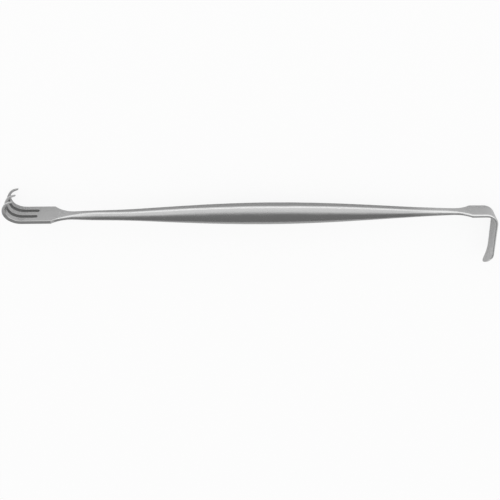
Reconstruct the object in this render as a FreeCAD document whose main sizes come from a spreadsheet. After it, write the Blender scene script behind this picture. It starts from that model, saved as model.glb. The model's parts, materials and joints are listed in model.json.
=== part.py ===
"""Handheld surgical retractor: one forged piece with a three-prong rake at one end and an L-shaped blade
at the other.

The piece is drawn with X along the handle from the rake to the blade, Y across the plates and Z up from
their flat faces, with the origin in the middle of the grip's thickest section. Its placement then lays it
on its side on the ground, as it rests when it is put down, with the ground at Z = 0 under the middle of
its outline.
"""
import FreeCAD, Part
import math
import os
import Sketcher

V = FreeCAD.Vector

# Driving sizes in millimetres and degrees, each with its meaning
SIZES = {
    "grip_width": (6.7, "grip across, at its thickest section"),
    "grip_thickness": (6.7, "grip in height, at its thickest section"),
    "grip_flat": (2.45, "flats on and under the grip, across, at its thickest section"),
    "side_bend": (0.98, "height over which a handle side bends in to a flat, as a share of its half height"),
    "neck_sag": (0.2, "widest level of a neck below its middle, as a share of its half height"),
    "rake_reach": (70.0, "thickest section to the shoulders of the rake plate"),
    "rake_neck_length": (9.0, "shoulders of the rake plate to the narrowest section beside them"),
    "rake_neck_width": (3.5, "narrowest section on the rake side, across"),
    "rake_neck_thickness": (2.3, "narrowest section on the rake side, in height"),
    "rake_neck_flat": (1.2, "flat on top of the narrowest section on the rake side"),
    "rake_fullness": (0.82, "exponent of the taper to the rake, lower is fuller"),
    "blade_reach": (65.8, "thickest section to the shoulders of the blade plate"),
    "blade_neck_length": (6.8, "shoulders of the blade plate to the narrowest section beside them"),
    "blade_neck_width": (3.1, "narrowest section on the blade side, across"),
    "blade_neck_thickness": (1.6, "narrowest section on the blade side, in height"),
    "blade_neck_flat": (1.5, "flat on top of the narrowest section on the blade side"),
    "blade_fullness": (0.66, "exponent of the taper to the blade, lower is fuller"),
    "shoulder_sharpness": (2.7, "exponent of the flare from a neck to its plate"),
    "rake_width": (10.0, "rake plate across its three prongs"),
    "rake_thickness": (1.15, "rake plate and prongs"),
    "rake_plate_length": (9.5, "shoulders to the start of the prongs' bend"),
    "rake_rise": (0.2, "middle of the rake plate above the middle of the grip"),
    "rake_edge_radius": (0.12, "broken edges of the rake plate"),
    "slot_width": (1.7, "slot between two prongs"),
    "slot_land": (4.5, "shoulders to the round ends of the slots"),
    "heel_radius": (6.4, "first bend of the prongs, middle of their thickness"),
    "heel_angle": (33.0, "turn of the first bend"),
    "back_radius": (3.8, "second bend of the prongs"),
    "back_angle": (45.0, "turn of the second bend"),
    "claw_radius": (3.0, "third bend of the prongs"),
    "claw_angle": (87.0, "turn of the third bend"),
    "point_length": (1.1, "straight end of a prong"),
    "point_thickness": (0.25, "prong at its point, side view"),
    "point_width": (0.4, "prong at its point, seen along the handle"),
    "point_taper": (4.2, "height over which a prong narrows to its point"),
    "blade_width": (7.3, "blade and its plate"),
    "blade_thickness": (1.1, "plate of the blade"),
    "blade_tip_thickness": (0.5, "blade at its rounded end"),
    "blade_outer_edge": (0.75, "rounding of the long edges on the outer face"),
    "blade_inner_edge": (0.25, "rounding of the long edges on the inner face"),
    "blade_plate_length": (4.65, "shoulders to the start of the right-angle bend"),
    "elbow_radius": (3.6, "right-angle bend, middle of the thickness"),
    "blade_straight": (10.2, "straight run of the blade"),
    "lip_radius": (7.5, "inward curve at the end of the blade"),
    "lip_angle": (44.0, "turn of the inward curve"),
    "end_sides": (1.92, "radius of the round end beside its nose, as a share of the blade's half width"),
    "end_nose": (0.66, "radius of the round end's nose, as a share of the blade's half width"),
}
ELBOW_TURN = "90"

# Edge roundings on the upper and lower face of each plate
PLATE_EDGES = {
    "rake": ("rake_edge_radius", "rake_edge_radius"),
    "blade": ("blade_outer_edge", "blade_inner_edge"),
}

# Most of a plate's thickness that the roundings of its two edges may take together
EDGE_LIMIT = 0.94

# Stations along the handle, as shares of the way from the thickest section to a neck and on to a plate
GRIP_SHARES = (0.28, 0.56, 0.8, 1.0)
FLARE_SHARES = (0.45, 0.72, 0.88, 1.0)


def size(name):
    """Reference to a driving size, for use inside an expression."""
    return "Sizes." + name


def make_sheet(doc):
    """The driving sizes, one cell each, with its alias and its meaning beside it."""
    sheet = doc.addObject("Spreadsheet::Sheet", "Sizes")
    for row, (name, (value, meaning)) in enumerate(SIZES.items(), start=1):
        sheet.set("A%d" % row, name)
        sheet.set("B%d" % row, str(value))
        sheet.setAlias("B%d" % row, name)
        sheet.set("C%d" % row, meaning)
    doc.recompute()


def attached_sketch(body, name, role, offset=None):
    """Empty sketch on one of the body's origin planes, shifted and turned by expressions."""
    sketch = body.newObject("Sketcher::SketchObject", name)
    plane = next(part for part in body.Origin.OriginFeatures if part.Role == role)
    sketch.AttachmentSupport = [(plane, "")]
    sketch.MapMode = "FlatFace"
    for path, expression in (offset or {}).items():
        sketch.setExpression("AttachmentOffset." + path, expression)
    return sketch


def number(sketch, expression):
    """Present value of an expression, which starts a sketch near its solution."""
    value = sketch.evalExpression(expression)
    return float(getattr(value, "Value", value))


def dimension(sketch, kind, geometry, expression):
    """Dimensional constraint that follows an expression."""
    value = number(sketch, expression)
    if kind == "Angle":
        value = math.radians(value)
    index = sketch.addConstraint(Sketcher.Constraint(kind, *geometry, value))
    sketch.setExpression("Constraints[%d]" % index, expression)


def place_point(sketch, geometry, point, x, y):
    """Holds a point of the sketch at x and y, measured from the sketch's origin."""
    dimension(sketch, "DistanceX", (-1, 1, geometry, point), x)
    dimension(sketch, "DistanceY", (-1, 1, geometry, point), y)


def arc_about(x, y, radius, start, end):
    """Arc about a centre, anticlockwise between two angles in degrees."""
    circle = Part.Circle(V(x, y, 0), V(0, 0, 1), radius)
    return Part.ArcOfCircle(circle, math.radians(start), math.radians(end))


def cross_section(body, name, offset, half_width, half_height, upper, lower):
    """Section across the piece: a flat above and one below, and sides that are upright in the middle.

    upper and lower say how each side bends in to the flat: how far inwards, and over what height. Where
    the two are equal the corner is a quarter circle, and where the height is more the flat has a crease.
    Each bend is two equal arcs. The twelve edges are the same at each station, so that flats join flats
    and sides join sides.
    """
    sketch = attached_sketch(body, name, "YZ_Plane", offset)
    wide, high = number(sketch, half_width), number(sketch, half_height)
    bends = []
    for (inward, height), level in ((upper, 1), (lower, -1)):
        across, rise = number(sketch, inward), number(sketch, height)
        radius = (across ** 2 + rise ** 2) / (2 * across)
        bends.append((level * (high - rise), radius, math.degrees(math.atan2(across, rise))))
    (top_level, top_radius, top_turn), (base_level, base_radius, base_turn) = bends
    top_flat = wide - number(sketch, upper[0])
    base_flat = wide - number(sketch, lower[0])
    top_x, base_x = wide - top_radius, wide - base_radius
    outline = (
        Part.LineSegment(V(-top_flat, high, 0), V(top_flat, high, 0)),
        arc_about(top_x, top_level, top_radius, top_turn, 2 * top_turn),
        arc_about(top_x, top_level, top_radius, 0, top_turn),
        Part.LineSegment(V(wide, top_level, 0), V(wide, base_level, 0)),
        arc_about(base_x, base_level, base_radius, -base_turn, 0),
        arc_about(base_x, base_level, base_radius, -2 * base_turn, -base_turn),
        Part.LineSegment(V(base_flat, -high, 0), V(-base_flat, -high, 0)),
        arc_about(-base_x, base_level, base_radius, 180 + base_turn, 180 + 2 * base_turn),
        arc_about(-base_x, base_level, base_radius, 180, 180 + base_turn),
        Part.LineSegment(V(-wide, base_level, 0), V(-wide, top_level, 0)),
        arc_about(-top_x, top_level, top_radius, 180 - top_turn, 180),
        arc_about(-top_x, top_level, top_radius, 180 - 2 * top_turn, 180 - top_turn),
    )
    edges = [sketch.addGeometry(piece) for piece in outline]
    top, right, bottom, left = edges[0::3]
    for line, near_flat, near_side, following in (
        (top, edges[1], edges[2], right), (bottom, edges[7], edges[8], left),
    ):
        sketch.addConstraint(Sketcher.Constraint("Coincident", line, 2, near_flat, 2))
        sketch.addConstraint(Sketcher.Constraint("Tangent", near_flat, 1, near_side, 2))
        sketch.addConstraint(Sketcher.Constraint("Tangent", near_side, 1, following, 1))
        sketch.addConstraint(Sketcher.Constraint("Equal", near_flat, near_side))
    for line, near_side, near_flat, following in (
        (right, edges[4], edges[5], bottom), (left, edges[10], edges[11], top),
    ):
        sketch.addConstraint(Sketcher.Constraint("Tangent", line, 2, near_side, 2))
        sketch.addConstraint(Sketcher.Constraint("Tangent", near_side, 1, near_flat, 2))
        sketch.addConstraint(Sketcher.Constraint("Coincident", near_flat, 1, following, 1))
        sketch.addConstraint(Sketcher.Constraint("Equal", near_side, near_flat))
    for one, one_point, other, other_point in (
        (top, 1, top, 2), (bottom, 1, bottom, 2), (right, 1, left, 2), (right, 2, left, 1),
    ):
        sketch.addConstraint(Sketcher.Constraint("Symmetric", one, one_point, other, other_point, -2))
    place_point(sketch, top, 2, "%s - %s" % (half_width, upper[0]), half_height)
    place_point(sketch, right, 1, half_width, "%s - %s" % (half_height, upper[1]))
    place_point(sketch, bottom, 1, "%s - %s" % (half_width, lower[0]), "-1 * (%s)" % half_height)
    dimension(sketch, "DistanceY", (-1, 1, right, 2), "%s - %s" % (lower[1], half_height))
    sketch.addConstraint(Sketcher.Constraint("Vertical", right))
    for arcs, (inward, height) in (((edges[2], edges[10]), upper), ((edges[4], edges[8]), lower)):
        for arc in arcs:
            dimension(sketch, "Angle", (arc,), "atan(%s / %s)" % (inward, height))
    return sketch


def arc_end(centre, radius, angle):
    """Point of a circle at an angle in degrees."""
    return centre + V(math.cos(math.radians(angle)), math.sin(math.radians(angle)), 0) * radius


def tangent_chain(sketch, x, y, heading, pieces):
    """Run of lines and clockwise arcs, each tangent to the one before.

    A piece is (length,) for a line or (radius, turn) for an arc. The chain starts at x and y with a
    horizontal line along the heading, which is 0 or 180 degrees.
    """
    at = V(number(sketch, x), number(sketch, y), 0)
    last = None
    for piece in pieces:
        along = V(math.cos(math.radians(heading)), math.sin(math.radians(heading)), 0)
        if len(piece) == 1:
            end = at + along * number(sketch, piece[0])
            index = sketch.addGeometry(Part.LineSegment(at, end))
            first = 1
        else:
            radius, turn = number(sketch, piece[0]), number(sketch, piece[1])
            centre = at + V(along.y, -along.x, 0) * radius
            outward = heading + 90
            index = sketch.addGeometry(arc_about(centre.x, centre.y, radius, outward - turn, outward))
            first = 2
            heading -= turn
            end = arc_end(centre, radius, outward - turn)
        if last:
            sketch.addConstraint(Sketcher.Constraint("Tangent", *last, index, first))
        else:
            sketch.addConstraint(Sketcher.Constraint("Horizontal", index))
            place_point(sketch, index, 1, x, y)
        if len(piece) == 1:
            dimension(sketch, "Distance", (index,), piece[0])
        else:
            dimension(sketch, "Radius", (index,), piece[0])
            dimension(sketch, "Angle", (index,), piece[1])
        last = (index, 3 - first)
        at = end


def polygon(sketch, points):
    """Closed outline through points given as pairs of expressions."""
    places = [V(number(sketch, x), number(sketch, y), 0) for x, y in points]
    lines = [
        sketch.addGeometry(Part.LineSegment(start, end))
        for start, end in zip(places, places[1:] + places[:1])
    ]
    for line, following in zip(lines, lines[1:] + lines[:1]):
        sketch.addConstraint(Sketcher.Constraint("Coincident", line, 2, following, 1))
    for line, (x, y) in zip(lines, points):
        place_point(sketch, line, 1, x, y)


def grip_station(end, sign, share):
    """Place and section at a share of the way from the thickest section to a neck.

    The sides bend over all their height, and towards the neck their widest level sags.
    """
    bell = "pow((1 + cos(180deg * %g)) / 2; %s)" % (share, size(end + "_fullness"))

    def between(kind):
        neck = size(end + "_neck_" + kind)
        return "(%s + (%s - %s) * %s)" % (neck, size("grip_" + kind), neck, bell)

    half_width, half_height = "(%s / 2)" % between("width"), "(%s / 2)" % between("thickness")
    sag = "%s * (1 - %s)" % (size("neck_sag"), bell)
    drop = "(%s * (%s + %s))" % (half_height, size("side_bend"), sag)
    lift = "(%s * (%s - %s))" % (half_height, size("side_bend"), sag)
    inset = "((%s - %s) / 2)" % (between("width"), between("flat"))
    bends = [("(min(%s; %s))" % (inset, height), height) for height in (drop, lift)]
    place = "%s * (%s - %s) * %g" % (sign, size(end + "_reach"), size(end + "_neck_length"), share)
    return {"Base.z": place}, half_width, half_height, *bends


def plate_edges(end):
    """Expressions of the upper and the lower edge rounding of a plate, held within its thickness."""
    upper, lower = (size(edge) for edge in PLATE_EDGES[end])
    fit = "min(1; %g * %s / (%s + %s))" % (EDGE_LIMIT, size(end + "_thickness"), upper, lower)
    return "(%s * %s)" % (upper, fit), "(%s * %s)" % (lower, fit)


def flare_station(end, sign, share, rise):
    """Place and section at a share of the way from a neck to the shoulders of its plate."""
    flare = "pow(%g; %s)" % (share, size("shoulder_sharpness"))

    def between(kind, plate, part):
        neck = size(end + "_neck_" + kind)
        return "(%s + (%s - %s) * %s)" % (neck, plate, neck, part)

    thickness = size(end + "_thickness")
    half_width = "(%s / 2)" % between("width", size(end + "_width"), flare)
    half_height = "(%s / 2)" % between("thickness", thickness, "%g" % (1 - (1 - share) ** 2))
    neck_inset = "(%s - %s) / 2" % (size(end + "_neck_width"), size(end + "_neck_flat"))
    bends = []
    for edge, sign_of_sag in zip(plate_edges(end), ("+", "-")):
        neck_bend = "(%s %s %s)" % (size("side_bend"), sign_of_sag, size("neck_sag"))
        plate_bend = "2 * %s / %s" % (edge, thickness)
        height = "(%s * (%s + (%s - %s) * %g))" % (half_height, neck_bend, plate_bend, neck_bend, share ** 3)
        inset = "(%s + (%s - %s) * %s)" % (neck_inset, edge, neck_inset, flare)
        bends.append(("(min(%s; %s))" % (inset, height), height))
    place = "%s * (%s - %s * %g)" % (sign, size(end + "_reach"), size(end + "_neck_length"), 1 - share)
    return {"Base.z": place, "Base.y": "%s * %g" % (rise, share ** 2)}, half_width, half_height, *bends


def make_handle(body):
    """Loft from the shoulders of the rake plate over the grip to the shoulders of the blade plate."""
    stations = [
        ("RakeFlare", flare_station("rake", "-1", share, size("rake_rise")))
        for share in reversed(FLARE_SHARES)
    ]
    stations += [("RakeTaper", grip_station("rake", "-1", share)) for share in reversed(GRIP_SHARES)]
    stations.append(("GripMiddle", grip_station("blade", "1", 0)))
    stations += [("BladeTaper", grip_station("blade", "1", share)) for share in GRIP_SHARES]
    stations += [("BladeFlare", flare_station("blade", "1", share, "0")) for share in FLARE_SHARES]
    sections = [cross_section(body, name, *station) for name, station in stations]
    body.Document.recompute()
    handle = body.newObject("PartDesign::AdditiveLoft", "Handle")
    handle.Profile = sections[0]
    handle.Sections = sections[1:]
    body.Document.recompute()
    return sections[0], sections[-1]


def path_section(body, name, x, z, turn, width, thickness, upper, lower):
    """Section across a bent strip: its middle at x and z, its plane turned clockwise from the YZ plane."""
    edges = ((upper, upper), (lower, lower))
    sketch = cross_section(body, name, {}, width + " / 2", thickness + " / 2", *edges)
    tilt = FreeCAD.Rotation(V(1, 0, 0), number(sketch, turn))
    sketch.AttachmentOffset = FreeCAD.Placement(V(0, 0, 0), tilt)
    sketch.setExpression("AttachmentOffset.Base.z", x)
    sketch.setExpression("AttachmentOffset.Base.y", z)
    sketch.setExpression("AttachmentOffset.Rotation.Angle", turn)
    return sketch


def make_strip(body, name, profile, path, edges, end_section=None):
    """Sweep of a section along some edges of a path, thinning to an end section where one is given."""
    strip = body.newObject("PartDesign::AdditivePipe", name)
    strip.Profile = profile
    strip.Spine = (path, ["Edge%d" % edge for edge in edges])
    if end_section:
        strip.Transformation = "Multisection"
        strip.Sections = [end_section]
    body.Document.recompute()


def make_cut(body, name, profile, length_type, midplane=False, reverse=False):
    """Pocket that has to take something away."""
    before = body.Shape.Volume
    cut = body.newObject("PartDesign::Pocket", name)
    cut.Profile = profile
    cut.Type = length_type
    cut.Midplane = midplane
    cut.Reversed = reverse
    body.Document.recompute()
    if not body.Shape.Volume < before:
        raise RuntimeError(name + " cuts nothing")


def sum_of_turns(*angles):
    """Expression of the heading's turn after several bends, as an angle."""
    return "(%s) * 1deg" % " + ".join(size(angle) for angle in angles)


def slot_outline(sketch, end, far, centre):
    """Slot with a round end at one side and a square one beyond the bend of the prongs."""
    radius = size("slot_width") + " / 2"
    x, y, r = number(sketch, end), number(sketch, centre), number(sketch, radius)
    far_x = number(sketch, far)
    arc = sketch.addGeometry(arc_about(x - r, y, r, -90, 90))
    upper = sketch.addGeometry(Part.LineSegment(V(x - r, y + r, 0), V(far_x, y + r, 0)))
    closing = sketch.addGeometry(Part.LineSegment(V(far_x, y + r, 0), V(far_x, y - r, 0)))
    lower = sketch.addGeometry(Part.LineSegment(V(far_x, y - r, 0), V(x - r, y - r, 0)))
    sketch.addConstraint(Sketcher.Constraint("Tangent", arc, 2, upper, 1))
    sketch.addConstraint(Sketcher.Constraint("Coincident", upper, 2, closing, 1))
    sketch.addConstraint(Sketcher.Constraint("Coincident", closing, 2, lower, 1))
    sketch.addConstraint(Sketcher.Constraint("Tangent", lower, 2, arc, 1))
    sketch.addConstraint(Sketcher.Constraint("Horizontal", upper))
    sketch.addConstraint(Sketcher.Constraint("Vertical", closing))
    dimension(sketch, "Radius", (arc,), radius)
    place_point(sketch, arc, 3, "%s - %s" % (end, radius), centre)
    dimension(sketch, "DistanceX", (-1, 1, closing, 1), far)


def make_rake(body, root):
    """Three prongs: the plate and its bends in side view, slotted in plan and pointed in end view."""
    path = attached_sketch(body, "RakePath", "XZ_Plane")
    bends = (("heel_radius", "heel_angle"), ("back_radius", "back_angle"), ("claw_radius", "claw_angle"))
    pieces = [(size("rake_plate_length"),)]
    pieces += [(size(radius), size(turn)) for radius, turn in bends]
    pieces.append((size("point_length"),))
    tangent_chain(path, "-" + size("rake_reach"), size("rake_rise"), 180, pieces)

    first = sum_of_turns("heel_angle")
    second = sum_of_turns("heel_angle", "back_angle")
    third = sum_of_turns("heel_angle", "back_angle", "claw_angle")
    heel, back, claw = size("heel_radius"), size("back_radius"), size("claw_radius")
    knee_x = "-(%s + %s + %s * sin(%s) + %s * (sin(%s) - sin(%s)))" % (
        size("rake_reach"), size("rake_plate_length"), heel, first, back, second, first)
    knee_z = "%s + %s * (1 - cos(%s)) + %s * (cos(%s) - cos(%s))" % (
        size("rake_rise"), heel, first, back, first, second)
    point_x = "%s - %s * (sin(%s) - sin(%s)) - %s * cos(%s)" % (
        knee_x, claw, third, second, size("point_length"), third)
    point_z = "%s + %s * (cos(%s) - cos(%s)) + %s * sin(%s)" % (
        knee_z, claw, second, third, size("point_length"), third)

    width, thickness, edges = size("rake_width"), size("rake_thickness"), plate_edges("rake")
    knee = path_section(body, "Knee", knee_x, knee_z, "180deg + " + second, width, thickness, *edges)
    thin = size("point_thickness")
    thin_edges = ["%s * %s / %s" % (edge, thin, thickness) for edge in edges]
    point = path_section(body, "Point", point_x, point_z, "180deg + " + third, width, thin, *thin_edges)
    body.Document.recompute()
    make_strip(body, "RakePlate", root, path, (1, 2, 3))
    make_strip(body, "Claws", knee, path, (4, 5), point)

    pitch = "(%s + %s) / 3" % (width, size("slot_width"))
    slots = attached_sketch(body, "SlotOutline", "XY_Plane")
    slot_end = "-(%s + %s)" % (size("rake_reach"), size("slot_land"))
    far_end = "2 * (%s)" % knee_x
    for side in (-1, 1):
        slot_outline(slots, slot_end, far_end, "%d * %s / 2" % (side, pitch))
    body.Document.recompute()
    make_cut(body, "Slots", slots, "ThroughAll", midplane=True)

    gaps = attached_sketch(body, "PointGaps", "YZ_Plane", {"Base.z": "-" + size("rake_reach")})
    top = "%s + %s" % (point_z, size("rake_thickness"))
    low = "%s - %s" % (point_z, size("point_taper"))
    for side in ("-1", "1"):
        inner_low = "%s * (%s - %s) / 2" % (side, pitch, size("slot_width"))
        outer_low = "%s * (%s + %s) / 2" % (side, pitch, size("slot_width"))
        inner_top = "%s * %s / 2" % (side, size("point_width"))
        outer_top = "%s * (%s / 2 - %s)" % (side, width, size("point_width"))
        polygon(gaps, [(inner_low, low), (outer_low, low), (outer_top, top), (inner_top, top)])
    body.Document.recompute()
    make_cut(body, "Points", gaps, "ThroughAll")


def round_end_outline(sketch, half_width, low_y, nose_y):
    """Outline of what a round end takes off: sides that curve in to a nose, and a base below them."""
    side_radius, nose_radius = ("%s * %s" % (half_width, size(share)) for share in ("end_sides", "end_nose"))
    half, low, side, nose = (number(sketch, item) for item in (half_width, low_y, side_radius, nose_radius))
    middle = number(sketch, nose_y) + nose
    level = middle + math.sqrt((side - nose) ** 2 - (side - half) ** 2)
    turn = math.degrees(math.atan2(level - middle, side - half))
    outline = (
        Part.LineSegment(V(-half, low, 0), V(-half, level, 0)),
        arc_about(side - half, level, side, 180, 180 + turn),
        arc_about(0, middle, nose, 180 + turn, 360 - turn),
        arc_about(half - side, level, side, 360 - turn, 360),
        Part.LineSegment(V(half, level, 0), V(half, low, 0)),
        Part.LineSegment(V(half, low, 0), V(-half, low, 0)),
    )
    left, left_arc, nose_arc, right_arc, right, base = (sketch.addGeometry(piece) for piece in outline)
    for one, other in ((left, left_arc), (left_arc, nose_arc), (nose_arc, right_arc), (right_arc, right)):
        sketch.addConstraint(Sketcher.Constraint("Tangent", one, 2, other, 1))
    for one, other in ((right, base), (base, left)):
        sketch.addConstraint(Sketcher.Constraint("Coincident", one, 2, other, 1))
    sketch.addConstraint(Sketcher.Constraint("Horizontal", base))
    sketch.addConstraint(Sketcher.Constraint("Symmetric", left_arc, 1, right_arc, 2, -2))
    sketch.addConstraint(Sketcher.Constraint("Equal", left_arc, right_arc))
    dimension(sketch, "Radius", (right_arc,), side_radius)
    dimension(sketch, "Radius", (nose_arc,), nose_radius)
    place_point(sketch, nose_arc, 3, "0", "%s + %s" % (nose_y, nose_radius))
    place_point(sketch, base, 1, half_width, low_y)


def make_blade(body, root):
    """L-shaped blade: plate, right-angle bend, straight run and inward lip, with a full round end."""
    path = attached_sketch(body, "BladePath", "XZ_Plane")
    pieces = (
        (size("blade_plate_length"),), (size("elbow_radius"), ELBOW_TURN),
        (size("blade_straight"),), (size("lip_radius"), size("lip_angle")),
    )
    tangent_chain(path, size("blade_reach"), "0", 0, pieces)
    turn = sum_of_turns("lip_angle")
    elbow_x = "%s + %s" % (size("blade_reach"), size("blade_plate_length"))
    elbow, straight, lip = size("elbow_radius"), size("blade_straight"), size("lip_radius")
    end_x = "%s + %s - %s * (1 - cos(%s))" % (elbow_x, elbow, lip, turn)
    end_z = "-(%s + %s + %s * sin(%s))" % (elbow, straight, lip, turn)
    width, tip = size("blade_width"), size("blade_tip_thickness")
    edges = ["%s * %s / %s" % (edge, tip, size("blade_thickness")) for edge in plate_edges("blade")]
    end = path_section(body, "BladeEnd", end_x, end_z, "90deg + " + turn, width, tip, *edges)
    body.Document.recompute()
    make_strip(body, "Blade", root, path, (1, 2, 3, 4), end)

    outline = attached_sketch(body, "BladeEndOutline", "YZ_Plane", {"Base.z": elbow_x})
    nose_z = "%s + %s / 2 * sin(%s)" % (end_z, tip, turn)
    round_end_outline(outline, width + " / 2", "%s - %s" % (end_z, width), nose_z)
    body.Document.recompute()
    make_cut(body, "RoundEnd", outline, "ThroughAll", reverse=True)


def lay_on_side(body):
    """Turns the piece onto its far side, tips it until both ends touch, and sets it on the ground."""
    onto_side = FreeCAD.Rotation(V(1, 0, 0), -90)
    step = "(%s - %s) / 2" % (size("rake_width"), size("blade_width"))
    lengths = ("rake_reach", "blade_reach", "blade_plate_length", "elbow_radius")
    span = " + ".join(size(name) for name in lengths)
    tip_angle = number(body, "atan((%s) / (%s + %s / 2))" % (step, span, size("blade_thickness")))
    turned = FreeCAD.Rotation(V(0, 1, 0), tip_angle).multiply(onto_side)
    shape = body.Shape.copy()
    shape.Placement = FreeCAD.Placement(V(0, 0, 0), turned)
    box = shape.optimalBoundingBox(False)
    body.Placement = FreeCAD.Placement(V(-box.Center.x, -box.Center.y, -box.ZMin), turned)


def check(doc, bodies):
    """Stops if a feature failed or a piece is not one valid solid."""
    for thing in doc.Objects:
        if "Invalid" in thing.State or "Error" in thing.State:
            raise RuntimeError("%s failed: %s" % (thing.Name, thing.getStatusString()))
    for body in bodies:
        shape = body.Shape
        if shape.isNull() or not shape.isValid() or len(shape.Solids) != 1:
            raise RuntimeError(body.Label + " is not one valid solid")


def main():
    doc = FreeCAD.newDocument("Retractor")
    make_sheet(doc)
    retractor = doc.addObject("PartDesign::Body", "Body")
    retractor.Label = "retractor"
    rake_root, blade_root = make_handle(retractor)
    make_blade(retractor, blade_root)
    make_rake(retractor, rake_root)
    lay_on_side(retractor)
    doc.recompute()
    check(doc, [retractor])
    os.makedirs("parts", exist_ok=True)
    retractor.Shape.exportStep("parts/%s.step" % retractor.Label)
    print("volume %.1f mm3" % retractor.Shape.Volume, retractor.Shape.optimalBoundingBox(False))


main()
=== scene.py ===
"""Looks of a double-ended hand retractor: one satin steel piece, its stage, its lamps and its camera."""
import json
import math
from functools import reduce

import bpy
from mathutils import Matrix, Vector

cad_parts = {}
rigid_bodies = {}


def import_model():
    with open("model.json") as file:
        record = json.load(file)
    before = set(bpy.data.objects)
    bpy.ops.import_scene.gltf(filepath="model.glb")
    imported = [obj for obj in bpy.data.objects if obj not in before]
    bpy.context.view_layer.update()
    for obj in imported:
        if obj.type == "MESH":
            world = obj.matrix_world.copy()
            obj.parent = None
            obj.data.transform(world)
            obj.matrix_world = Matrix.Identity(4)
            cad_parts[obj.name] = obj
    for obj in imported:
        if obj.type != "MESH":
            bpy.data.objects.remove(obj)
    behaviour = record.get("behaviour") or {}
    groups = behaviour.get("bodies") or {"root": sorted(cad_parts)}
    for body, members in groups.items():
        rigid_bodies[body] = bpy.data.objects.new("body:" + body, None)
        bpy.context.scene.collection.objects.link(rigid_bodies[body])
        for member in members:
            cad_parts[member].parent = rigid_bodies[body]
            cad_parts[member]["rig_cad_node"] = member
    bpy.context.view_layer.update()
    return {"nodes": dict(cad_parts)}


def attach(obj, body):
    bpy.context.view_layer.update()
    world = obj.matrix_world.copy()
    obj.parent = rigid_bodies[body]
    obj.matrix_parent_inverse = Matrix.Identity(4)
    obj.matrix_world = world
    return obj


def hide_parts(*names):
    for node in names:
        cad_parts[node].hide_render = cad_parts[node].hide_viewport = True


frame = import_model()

bl_info = {
    "name": "Hand Retractor",
    "version": (1, 0, 0),
    "blender": (4, 5, 0),
    "location": "3D View > Sidebar > Retractor",
    "description": "Dresses the retractor's solid in satin steel, with its stage and camera",
    "category": "Object",
}

NODE = "retractor"
BODY = "root"

MM = 0.001

# The blasted grain is 0.05 mm; this is the finest that the render can show
GRAIN = 0.35 * MM
GRAIN_SPREAD = 0.02
GRAIN_BUMP = 0.12
GRAIN_DEPTH = 0.02 * MM

# Unevenness of the hand polish
POLISH = 6 * MM
POLISH_SPREAD = 0.03

# Values of a noise between which nearly all of it lies
NOISE = (0.3, 0.7)

# Distances from the middle between which the handle's necks end and the plates begin
NECK_START = 50 * MM
NECK_END = 60 * MM

# How far the surface leans across the piece where the rounding off a flat starts and ends to be worn and
# painted with a highlight
LEAN_START = (0.2, 0.32)
LEAN_END = (0.48, 0.64)

# Sum of the lean along Y and Z, up and towards the lit panel, from which the wear and its painted highlight
# grow, and from which they are full
UP_START = 0.8
UP_END = 1.05

# The rake's slots, whose walls get painted shade: their walls lean this far across, lie beyond this place and
# below the near prong's side
WALL_LEAN = 0.8
SLOTS_START = -69.6 * MM
SLOTS_TOP = 9.0 * MM

# The painted highlights on the sides: the blade's beyond this place along X and the claws' beyond this place
# along Y, both over a short way, and of the prongs only those from the middle one up
BLADE_START = 76.5 * MM
CLAW_START = 8.5 * MM
HIGHLIGHT_FADE = 1.5 * MM
MIDDLE_PRONG = 4.5 * MM

# The light painted on the card, as if the panel's light spilled over it, reaches further towards both ends:
# where it starts to reach further, where it no longer grows, and how much further it reaches there
PAINTED_SPILL_ENDS = ((-0.08, -0.15, 0.2), (0.02, 0.1, 0.13))

# Camera: it looks down across the handle, from the side the prongs point to. TIP is how far the lying handle
# tips towards the ground, PITCH the turn from straight across it, AIM the middle of the grip, and BACK, ALONG
# and LOWER lead from there to the camera.
TIP = math.radians(0.5349)
PITCH = math.radians(30)
ROLL = math.radians(0.58)
AIM = Vector((5.383, 5.640, 4.346)) * MM
BACK = 318.8 * MM
ALONG = -6 * MM
LOWER = 11.87 * MM
SENSOR_WIDTH = 36
CLIP_START = 10 * MM

# Sockets of a Mix node for colours, which share their names with those for numbers
COLOUR_A = 6
COLOUR_B = 7
COLOUR_RESULT = 2


def from_hex(text, alpha=1.0):
    """Linear colour of an sRGB hex value."""
    channels = [int(text[i:i + 2], 16) / 255 for i in (1, 3, 5)]
    linear = [c / 12.92 if c <= 0.04045 else ((c + 0.055) / 1.055) ** 2.4 for c in channels]
    return (*linear, alpha)


WHITE = from_hex("#FFFFFF")


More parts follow.
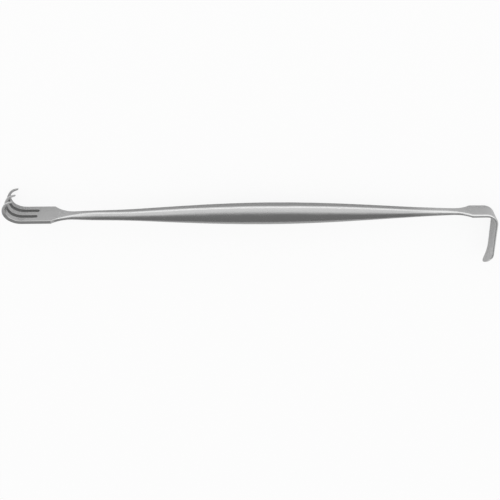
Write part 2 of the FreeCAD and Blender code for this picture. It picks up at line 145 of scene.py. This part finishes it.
class SteelSettings(bpy.types.PropertyGroup):
    """Sizes and colours of the steel piece."""
    colour: bpy.props.FloatVectorProperty(
        name="Steel", description="Colour of the stainless steel", subtype="COLOR", size=4, min=0, max=1,
        default=from_hex("#BFBFBF"))
    # painted shade: the handle is painted darker than the plates, for the shadowed floor that its flats mirror
    handle_shaded_colour: bpy.props.FloatVectorProperty(
        name="Handle", description="Colour of the handle, whose satin is coarser", subtype="COLOR", size=4,
        min=0, max=1, default=from_hex("#A2A2A2"))
    # bright colour of the worn edges, also used for the painted highlights
    worn_and_highlight_colour: bpy.props.FloatVectorProperty(
        name="Bright steel", description="Colour of the steel where it is worn or ground bright",
        subtype="COLOR", size=4, min=0, max=1, default=from_hex("#E6E6E6"))
    # painted shade: colour of the walls of the rake's slots, for the shade in them
    slot_shade_colour: bpy.props.FloatVectorProperty(
        name="Slot walls", description="Colour of the sawn walls of the rake's slots", subtype="COLOR", size=4,
        min=0, max=1, default=from_hex("#969696"))
    # wear of the handle's edges, with the painted highlight on them
    handle_wear_and_highlight: bpy.props.FloatProperty(
        name="Handle wear", description="Polish of the handle's edges", subtype="FACTOR", min=0, max=1,
        default=0.9)
    # share of the wear and its painted highlight on the roundings that face down and away from the panel
    far_wear_and_highlight: bpy.props.FloatProperty(
        name="Far wear", description="Part of the wear that the lower and the far roundings have",
        subtype="FACTOR", min=0, max=1, default=0.15)
    # wear of the edges of the plates and prongs, with the painted highlight on them
    plate_wear_and_highlight: bpy.props.FloatProperty(
        name="Plate wear", description="Polish of the edges of the plates and prongs", subtype="FACTOR",
        min=0, max=1, default=0.25)
    # painted highlight on the blade's side
    blade_painted_highlight: bpy.props.FloatProperty(
        name="Blade shine", description="Brightness of the ground side of the blade", subtype="FACTOR",
        min=0, max=1, default=0.5)
    # painted highlight on the sides of the claws
    claw_painted_highlight: bpy.props.FloatProperty(
        name="Claw shine", description="Brightness of the ground sides of the prongs' claws",
        subtype="FACTOR", min=0, max=1, default=1.0)
    roughness: bpy.props.FloatProperty(
        name="Roughness", description="Roughness of the satin finish", subtype="FACTOR", min=0, max=1,
        default=0.25)
    weld: bpy.props.FloatProperty(
        name="Weld", description="Distance within which the solid's corners are joined",
        subtype="DISTANCE", unit="LENGTH", default=0.002 * MM, precision=6)
    crease: bpy.props.FloatProperty(
        name="Crease", description="Turn between two faces from which their edge stays sharp",
        subtype="ANGLE", default=math.radians(28))


class StageSettings(bpy.types.PropertyGroup):
    """Floor, light and view."""
    floor_side: bpy.props.FloatProperty(
        name="Floor", description="Side of the floor", subtype="DISTANCE", unit="LENGTH", default=8.0)
    floor_colour: bpy.props.FloatVectorProperty(
        name="Floor colour", description="Colour of the floor", subtype="COLOR", size=4, min=0, max=1,
        default=from_hex("#E2E2E2"))
    floor_white: bpy.props.FloatProperty(
        name="Floor white", description="Share of plain white that the eye sees in the floor",
        subtype="FACTOR", min=0, max=1, default=0.88)
    floor_mirrored: bpy.props.FloatProperty(
        name="Floor mirrored", description="Share of plain white that mirrors and glass see in the floor",
        subtype="FACTOR", min=0, max=1, default=0.1)
    card_height: bpy.props.FloatProperty(
        name="Card height", description="Height of the grey card above the floor",
        subtype="DISTANCE", unit="LENGTH", default=0.45)
    card_left: bpy.props.FloatProperty(
        name="Card left edge", description="Edge of the card beyond the rake",
        subtype="DISTANCE", unit="LENGTH", default=-2.5)
    card_right: bpy.props.FloatProperty(
        name="Card right edge", description="Edge of the card beyond the blade",
        subtype="DISTANCE", unit="LENGTH", default=1.2)
    card_near: bpy.props.FloatProperty(
        name="Card near edge", description="Edge of the card on the panel's side",
        subtype="DISTANCE", unit="LENGTH", default=0.5)
    card_far: bpy.props.FloatProperty(
        name="Card far edge", description="Edge of the card away from the panel",
        subtype="DISTANCE", unit="LENGTH", default=-3.0)
    # width of the painted light on the card's edge by the panel
    card_painted_spill: bpy.props.FloatProperty(
        name="Spill", description="Part of the card that the panel lights",
        subtype="DISTANCE", unit="LENGTH", default=0.42)
    card_grey: bpy.props.FloatProperty(
        name="Card grey", description="Brightness of the unlit card", min=0, default=0.37)
    # glow of the painted light on that edge
    card_painted_glow: bpy.props.FloatProperty(
        name="Card lit", description="Brightness of the card's lit edge", min=0, default=1.65)
    panel_distance: bpy.props.FloatProperty(
        name="Panel distance", description="Distance of the lit panel from the piece",
        subtype="DISTANCE", unit="LENGTH", default=0.6)
    panel_width: bpy.props.FloatProperty(
        name="Panel width", description="Width of the lit panel along the piece",
        subtype="DISTANCE", unit="LENGTH", default=1.6)
    panel_height: bpy.props.FloatProperty(
        name="Panel height", description="Height of the lit panel",
        subtype="DISTANCE", unit="LENGTH", default=0.5)
    panel_brightness: bpy.props.FloatProperty(
        name="Panel", description="Brightness that the lit panel adds to the room", min=0, default=0.65)
    lens: bpy.props.FloatProperty(
        name="Lens", description="Focal length of the camera in millimetres", min=1, default=70.56)


def new_material(name):
    """Empty node material and its tree."""
    material = bpy.data.materials.new(name)
    material.use_nodes = True
    material.node_tree.nodes.clear()
    return material, material.node_tree


def add_node(tree, kind, inputs=None, **settings):
    """New node with its settings, its inputs set to values or linked to other nodes' outputs."""
    node = tree.nodes.new(kind)
    for name, value in settings.items():
        setattr(node, name, value)
    for name, value in (inputs or {}).items():
        if isinstance(value, bpy.types.NodeSocket):
            tree.links.new(value, node.inputs[name])
        else:
            node.inputs[name].default_value = value
    return node


def maths(tree, operation, *values):
    """Output of a Math node over values or other nodes' outputs."""
    return add_node(tree, "ShaderNodeMath", dict(enumerate(values)), operation=operation).outputs["Value"]


def product(tree, *factors):
    """Output that is all the factors multiplied."""
    return reduce(lambda so_far, factor: maths(tree, "MULTIPLY", so_far, factor), factors)


def ramp(tree, value, start, end, low=0.0, high=1.0, **settings):
    """Output that goes from low to high while the value goes from start to end."""
    return add_node(tree, "ShaderNodeMapRange", {
        "Value": value, "From Min": start, "From Max": end, "To Min": low, "To Max": high,
    }, **settings).outputs["Result"]


def tint(tree, factor, under, over):
    """Output that is the lower colour, covered by the upper one as far as the factor says."""
    return add_node(tree, "ShaderNodeMix", {
        "Factor": factor, COLOUR_A: under, COLOUR_B: over}, data_type="RGBA").outputs[COLOUR_RESULT]


def satin_stainless_steel(settings):
    """Forged stainless steel, ground, bead blasted and satin polished: a grey that spreads what it reflects
    along soft bands, with a fine grain and slightly uneven polish, over which shade and highlights are
    painted."""
    material, tree = new_material("satin_stainless_steel")
    coordinates = add_node(tree, "ShaderNodeTexCoord").outputs
    place = coordinates["Object"]
    where = add_node(tree, "ShaderNodeSeparateXYZ", {"Vector": place}).outputs
    lean = add_node(tree, "ShaderNodeSeparateXYZ", {"Vector": coordinates["Normal"]}).outputs
    side = maths(tree, "ABSOLUTE", lean["Z"])

    grain = add_node(tree, "ShaderNodeTexNoise", {
        "Vector": place, "Scale": 1 / GRAIN, "Detail": 3.0, "Roughness": 0.6}).outputs["Fac"]
    polish = add_node(tree, "ShaderNodeTexNoise", {
        "Vector": place, "Scale": 1 / POLISH, "Detail": 2.0}).outputs["Fac"]
    smooth, coarse = settings.roughness - POLISH_SPREAD, settings.roughness + POLISH_SPREAD
    rough = maths(
        tree, "ADD",
        ramp(tree, polish, *NOISE, smooth, coarse),
        ramp(tree, grain, *NOISE, -GRAIN_SPREAD, GRAIN_SPREAD))
    bump = add_node(tree, "ShaderNodeBump", {
        "Height": grain, "Strength": GRAIN_BUMP, "Distance": GRAIN_DEPTH})

    # painted shade: the handle is painted darker than the plates, for the shadowed floor that its flats mirror
    plates = ramp(tree, maths(tree, "ABSOLUTE", where["X"]), NECK_START, NECK_END)
    satin = tint(tree, plates, settings.handle_shaded_colour, settings.colour)

    # hands have polished the roundings off the flats, most where the upper flat meets the side that lies up;
    # the bright colour there is also a painted highlight, strongest where they face up and towards the lit
    # panel
    rounding = product(tree, ramp(tree, side, *LEAN_START), ramp(tree, side, *LEAN_END, 1.0, 0.0))
    outward = maths(tree, "ADD", lean["Y"], lean["Z"])
    up = ramp(tree, outward, UP_START, UP_END, settings.far_wear_and_highlight, 1.0)
    amount = ramp(tree, plates, 0.0, 1.0, settings.handle_wear_and_highlight, settings.plate_wear_and_highlight)
    worn = tint(tree, product(tree, rounding, up, amount), satin, settings.worn_and_highlight_colour)

    # painted shade: the walls of the rake's slots and its sides below the near prong's side are painted dark,
    # for the shade in the slots
    wall = maths(tree, "GREATER_THAN", side, WALL_LEAN)
    rake = maths(tree, "LESS_THAN", where["X"], SLOTS_START)
    inner = maths(tree, "LESS_THAN", where["Z"], SLOTS_TOP)
    slot_shaded = tint(tree, product(tree, wall, rake, inner), worn, settings.slot_shade_colour)

    # painted highlight: the upward-facing sides of the blade and of the claws are painted bright
    blade = ramp(tree, where["X"], BLADE_START, BLADE_START + HIGHLIGHT_FADE, 0.0, settings.blade_painted_highlight)
    claws = ramp(tree, where["Y"], CLAW_START, CLAW_START + HIGHLIGHT_FADE, 0.0, settings.claw_painted_highlight)
    upper = maths(tree, "GREATER_THAN", where["Z"], MIDDLE_PRONG)
    facing = ramp(tree, lean["Z"], LEAN_END[0], WALL_LEAN)
    ground = product(tree, maths(tree, "MAXIMUM", blade, claws), upper, facing)
    colour = tint(tree, ground, slot_shaded, settings.worn_and_highlight_colour)

    steel = add_node(tree, "ShaderNodeBsdfPrincipled", {
        "Base Color": colour, "Metallic": 1.0, "Roughness": rough, "Normal": bump.outputs["Normal"]})
    add_node(tree, "ShaderNodeOutputMaterial", {"Surface": steel.outputs["BSDF"]})
    return material


class RETRACTOR_OT_steel_piece(bpy.types.Operator):
    """Makes the finished steel piece from the solid"""
    bl_idname = "retractor.steel_piece"
    bl_label = "Steel Piece"

    def execute(self, context):
        settings = context.scene.retractor_steel
        bpy.ops.object.select_all(action="DESELECT")
        solid = frame["nodes"][NODE]
        solid.select_set(True)
        context.view_layer.objects.active = solid
        bpy.ops.object.duplicate()
        piece = context.view_layer.objects.active
        if piece is solid:
            raise RuntimeError("the solid was not copied")
        del piece["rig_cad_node"]
        piece.name = "retractor_steel"
        piece.data.name = "retractor_steel"
        bpy.ops.object.mode_set(mode="EDIT")
        bpy.ops.mesh.select_all(action="SELECT")
        bpy.ops.mesh.remove_doubles(threshold=settings.weld)
        bpy.ops.mesh.customdata_custom_splitnormals_clear()
        bpy.ops.object.mode_set(mode="OBJECT")
        bpy.ops.object.shade_smooth_by_angle(angle=settings.crease)
        piece.data.materials.clear()
        piece.data.materials.append(satin_stainless_steel(settings))
        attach(piece, BODY)
        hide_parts(NODE)
        return {"FINISHED"}


def add_board(context, name, width, depth, place):
    """Flat level board of the stage, its middle at a place and its size in its mesh."""
    bpy.ops.object.select_all(action="DESELECT")
    bpy.ops.mesh.primitive_plane_add(size=1, location=place)
    board = context.view_layer.objects.active
    board.name = name
    board.scale = (width, depth, 1)
    bpy.ops.object.transform_apply(location=True, rotation=True, scale=True)
    return board


class RETRACTOR_OT_floor(bpy.types.Operator):
    """Lays the pale floor and sets the white room"""
    bl_idname = "retractor.floor"
    bl_label = "Floor"

    def execute(self, context):
        settings = context.scene.retractor_stage
        floor = add_board(context, "floor", settings.floor_side, settings.floor_side, (0, 0, 0))
        material, tree = new_material("matt_white_board")
        # lit board under part of its own white, which keeps the shadow but lightens it
        board = add_node(tree, "ShaderNodeBsdfDiffuse", {"Color": settings.floor_colour})
        white = add_node(tree, "ShaderNodeEmission", {"Color": WHITE, "Strength": 1.0})
        rays = add_node(tree, "ShaderNodeLightPath").outputs
        mirrored = maths(tree, "MAXIMUM", rays["Is Glossy Ray"], rays["Is Transmission Ray"])
        part = maths(
            tree, "MULTIPLY_ADD", rays["Is Camera Ray"], settings.floor_white,
            product(tree, mirrored, settings.floor_mirrored))
        mix = add_node(tree, "ShaderNodeMixShader", {
            "Fac": part, 1: board.outputs["BSDF"], 2: white.outputs["Emission"]})
        add_node(tree, "ShaderNodeOutputMaterial", {"Surface": mix.outputs["Shader"]})
        floor.data.materials.append(material)

        world = bpy.data.worlds.new("white_room")
        context.scene.world = world
        world.use_nodes = True
        tree = world.node_tree
        tree.nodes.clear()
        room = add_node(tree, "ShaderNodeBackground", {"Color": WHITE, "Strength": 1.0})
        add_node(tree, "ShaderNodeOutputWorld", {"Surface": room.outputs["Background"]})
        return {"FINISHED"}


class RETRACTOR_OT_lights(bpy.types.Operator):
    """Hangs the grey card that the steel mirrors and stands the lit panel beside it"""
    bl_idname = "retractor.lights"
    bl_label = "Card and Panel"

    def execute(self, context):
        settings = context.scene.retractor_stage
        near, far = settings.card_near, settings.card_far
        left, right = settings.card_left, settings.card_right
        middle = ((left + right) / 2, (near + far) / 2, settings.card_height)
        card = add_board(context, "grey_card", right - left, near - far, middle)
        # a photographer's card: the steel mirrors it, and neither the eye nor the floor sees it
        card.visible_camera = False
        card.visible_diffuse = False
        card.visible_transmission = False
        card.visible_shadow = False
        # painted light: the card glows by emission, grey, and brighter towards the panel where the panel's
        # light would fall on it
        material, tree = new_material("grey_card")
        place = add_node(tree, "ShaderNodeTexCoord").outputs["Object"]
        across = add_node(tree, "ShaderNodeSeparateXYZ", {"Vector": place}).outputs
        reached = across["Y"]
        for start, end, reach in PAINTED_SPILL_ENDS:
            reached = maths(tree, "ADD", reached, ramp(tree, across["X"], start, end, 0.0, reach))
        painted_tone = ramp(
            tree, reached, near - settings.card_painted_spill, near, settings.card_grey, settings.card_painted_glow,
            interpolation_type="SMOOTHSTEP")
        glow = add_node(tree, "ShaderNodeEmission", {"Color": WHITE, "Strength": painted_tone})
        add_node(tree, "ShaderNodeOutputMaterial", {"Surface": glow.outputs["Emission"]})
        card.data.materials.append(material)

        width, height = settings.panel_width, settings.panel_height
        bpy.ops.object.select_all(action="DESELECT")
        bpy.ops.object.light_add(
            type="AREA", location=(0, settings.panel_distance, height / 2), rotation=(-math.pi / 2, 0, 0))
        lamp = context.view_layer.objects.active
        lamp.name = "lit_panel"
        lamp.data.shape = "RECTANGLE"
        lamp.data.size = width
        lamp.data.size_y = height
        lamp.data.energy = settings.panel_brightness * math.pi * width * height
        return {"FINISHED"}


class RETRACTOR_OT_camera(bpy.types.Operator):
    """Sets the camera at the photograph's viewing angle"""
    bl_idname = "retractor.camera"
    bl_label = "Camera"

    def execute(self, context):
        settings = context.scene.retractor_stage
        along = Vector((math.cos(TIP), 0, -math.sin(TIP)))
        across = Vector((-math.sin(TIP), 0, -math.cos(TIP)))
        lift = Vector((0, 1, 0))
        look = across * math.cos(PITCH) - lift * math.sin(PITCH)
        upright = across * math.sin(PITCH) + lift * math.cos(PITCH)
        right = along * math.cos(ROLL) - upright * math.sin(ROLL)
        up = upright * math.cos(ROLL) + along * math.sin(ROLL)
        place = AIM + along * ALONG - look * BACK - up * LOWER
        bpy.ops.object.select_all(action="DESELECT")
        bpy.ops.object.camera_add()
        camera = context.view_layer.objects.active
        camera.name = "camera"
        camera.matrix_world = Matrix.Translation(place) @ Matrix((right, up, -look)).transposed().to_4x4()
        camera.data.sensor_width = SENSOR_WIDTH
        camera.data.lens = settings.lens
        camera.data.clip_start = CLIP_START
        context.scene.camera = camera
        context.scene.view_settings.view_transform = "Standard"
        return {"FINISHED"}


class RETRACTOR_PT_panel(bpy.types.Panel):
    """Lists the pieces of the retractor and its stage"""
    bl_label = "Retractor"
    bl_idname = "RETRACTOR_PT_panel"
    bl_space_type = "VIEW_3D"
    bl_region_type = "UI"
    bl_category = "Retractor"

    def draw(self, context):
        for settings in (context.scene.retractor_steel, context.scene.retractor_stage):
            box = self.layout.box()
            for name in settings.__annotations__:
                box.prop(settings, name)
        for operator in OPERATORS:
            self.layout.operator(operator.bl_idname)


OPERATORS = (RETRACTOR_OT_steel_piece, RETRACTOR_OT_floor, RETRACTOR_OT_lights, RETRACTOR_OT_camera)
CLASSES = (SteelSettings, StageSettings, *OPERATORS, RETRACTOR_PT_panel)


def register():
    for cls in CLASSES:
        bpy.utils.register_class(cls)
    bpy.types.Scene.retractor_steel = bpy.props.PointerProperty(type=SteelSettings)
    bpy.types.Scene.retractor_stage = bpy.props.PointerProperty(type=StageSettings)


def unregister():
    del bpy.types.Scene.retractor_stage
    del bpy.types.Scene.retractor_steel
    for cls in reversed(CLASSES):
        bpy.utils.unregister_class(cls)


def main():
    register()
    bpy.ops.retractor.steel_piece()
    bpy.ops.retractor.floor()
    bpy.ops.retractor.lights()
    bpy.ops.retractor.camera()


if __name__ == "__main__":
    main()
